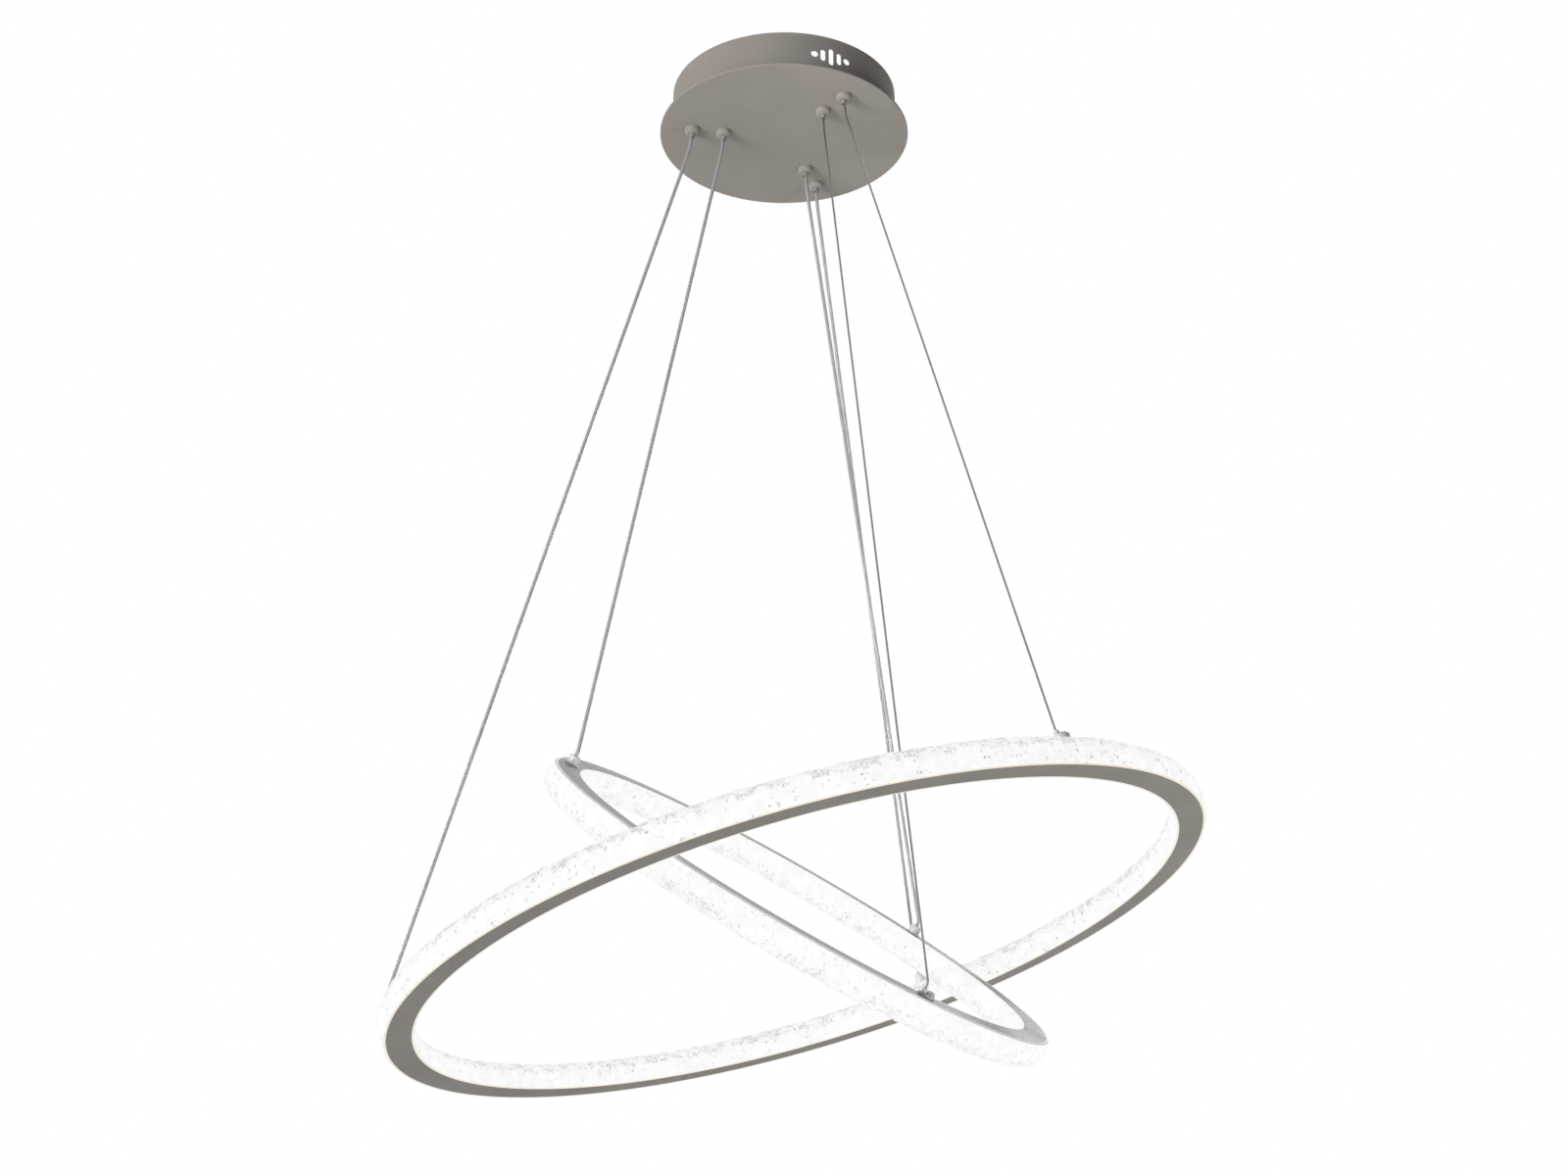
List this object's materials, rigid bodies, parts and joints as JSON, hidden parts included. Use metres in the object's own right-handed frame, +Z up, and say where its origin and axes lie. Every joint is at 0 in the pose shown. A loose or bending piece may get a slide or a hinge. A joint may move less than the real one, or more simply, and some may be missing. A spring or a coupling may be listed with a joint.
{
  "type": "pendant light",
  "caption": "Ceiling pendant with tilted luminous acrylic rings hung on cords and wires from a round canopy.",
  "frame": {"origin": "canopy axis where the ceiling bracket's face meets the ceiling", "axes": "+Z up towards the ceiling, +X to the right and -Y towards the viewer in the picture's view"},
  "size_m": [0.5764, 0.5973, 0.8045],
  "materials": {
    "canopy_paint": "satin warm grey",
    "gripper_paint": "satin warm grey",
    "ring_paint": "satin warm grey paint",
    "zinc_steel": "bright zinc plated",
    "brass": "plain brass",
    "driver_case": "white moulded",
    "foam_pad": "black foam tape",
    "terminal_plastic": "natural nylon",
    "crystal_acrylic": "lit crackled acrylic",
    "led_board": "white solder mask",
    "gland_plastic": "pale grey moulded",
    "cord_jacket": "clear jacket over core",
    "steel_rope": "twisted bright steel"
  },
  "bodies": {
    "canopy": {"ceiling_bracket": "zinc_steel", "pin_screws": "zinc_steel", "earth_screw": "brass", "earth_washer": "zinc_steel", "canopy_wall": "canopy_paint", "canopy_plate": "canopy_paint", "canopy_nuts": "zinc_steel", "driver_big": "driver_case", "driver_small": "driver_case", "driver_pads": "foam_pad", "terminal_block": "terminal_plastic", "terminal_screws": "zinc_steel", "gripper_nuts": "zinc_steel", "gripper_big_far": "gripper_paint", "gripper_big_left": "gripper_paint", "gripper_big_right": "gripper_paint", "gripper_small_far": "gripper_paint", "gripper_small_left": "gripper_paint", "gripper_small_right": "gripper_paint", "cord_big_far": "cord_jacket", "cord_big_left": "cord_jacket", "rope_big_right": "steel_rope", "cord_small_far": "cord_jacket", "cord_small_left": "cord_jacket", "rope_small_right": "steel_rope"},
    "big_ring": {"big_diffuser": "crystal_acrylic", "big_plate": "ring_paint", "big_led_strip": "led_board", "big_posts": "zinc_steel", "big_gland_far": "gland_plastic", "big_gland_left": "gland_plastic", "big_anchor": "zinc_steel", "big_anchor_screw": "zinc_steel"},
    "small_ring": {"small_diffuser": "crystal_acrylic", "small_plate": "ring_paint", "small_led_strip": "led_board", "small_stem_nuts": "zinc_steel", "small_gland_far": "gland_plastic", "small_gland_left": "gland_plastic", "small_anchor": "zinc_steel", "small_anchor_screw": "zinc_steel"},
    "plunger_big_far_body": {"plunger_big_far": "gripper_paint"},
    "plunger_big_left_body": {"plunger_big_left": "gripper_paint"},
    "plunger_big_right_body": {"plunger_big_right": "gripper_paint"},
    "plunger_small_far_body": {"plunger_small_far": "gripper_paint"},
    "plunger_small_left_body": {"plunger_small_left": "gripper_paint"},
    "plunger_small_right_body": {"plunger_small_right": "gripper_paint"}
  },
  "joints": [
    {"name": "big_ring_lift", "type": "slide", "parent": "canopy", "child": "big_ring", "axis": [0, 0, 1], "range_m": [0, 0.25], "deforming": ["cord_big_far", "cord_big_left", "rope_big_right"]},
    {"name": "small_ring_lift", "type": "slide", "parent": "canopy", "child": "small_ring", "axis": [0, 0, 1], "range_m": [0, 0.1], "deforming": ["cord_small_far", "cord_small_left", "rope_small_right"]},
    {"name": "release_big_far", "type": "slide", "parent": "canopy", "child": "plunger_big_far_body", "axis": [0, 0, 1], "range_m": [0, 0.002], "stiffness_N_per_m": 800, "springref_m": -0.002},
    {"name": "release_big_left", "type": "slide", "parent": "canopy", "child": "plunger_big_left_body", "axis": [0, 0, 1], "range_m": [0, 0.002], "stiffness_N_per_m": 800, "springref_m": -0.002},
    {"name": "release_big_right", "type": "slide", "parent": "canopy", "child": "plunger_big_right_body", "axis": [0, 0, 1], "range_m": [0, 0.002], "stiffness_N_per_m": 800, "springref_m": -0.002},
    {"name": "release_small_far", "type": "slide", "parent": "canopy", "child": "plunger_small_far_body", "axis": [0, 0, 1], "range_m": [0, 0.002], "stiffness_N_per_m": 800, "springref_m": -0.002},
    {"name": "release_small_left", "type": "slide", "parent": "canopy", "child": "plunger_small_left_body", "axis": [0, 0, 1], "range_m": [0, 0.002], "stiffness_N_per_m": 800, "springref_m": -0.002},
    {"name": "release_small_right", "type": "slide", "parent": "canopy", "child": "plunger_small_right_body", "axis": [0, 0, 1], "range_m": [0, 0.002], "stiffness_N_per_m": 800, "springref_m": -0.002}
  ]
}
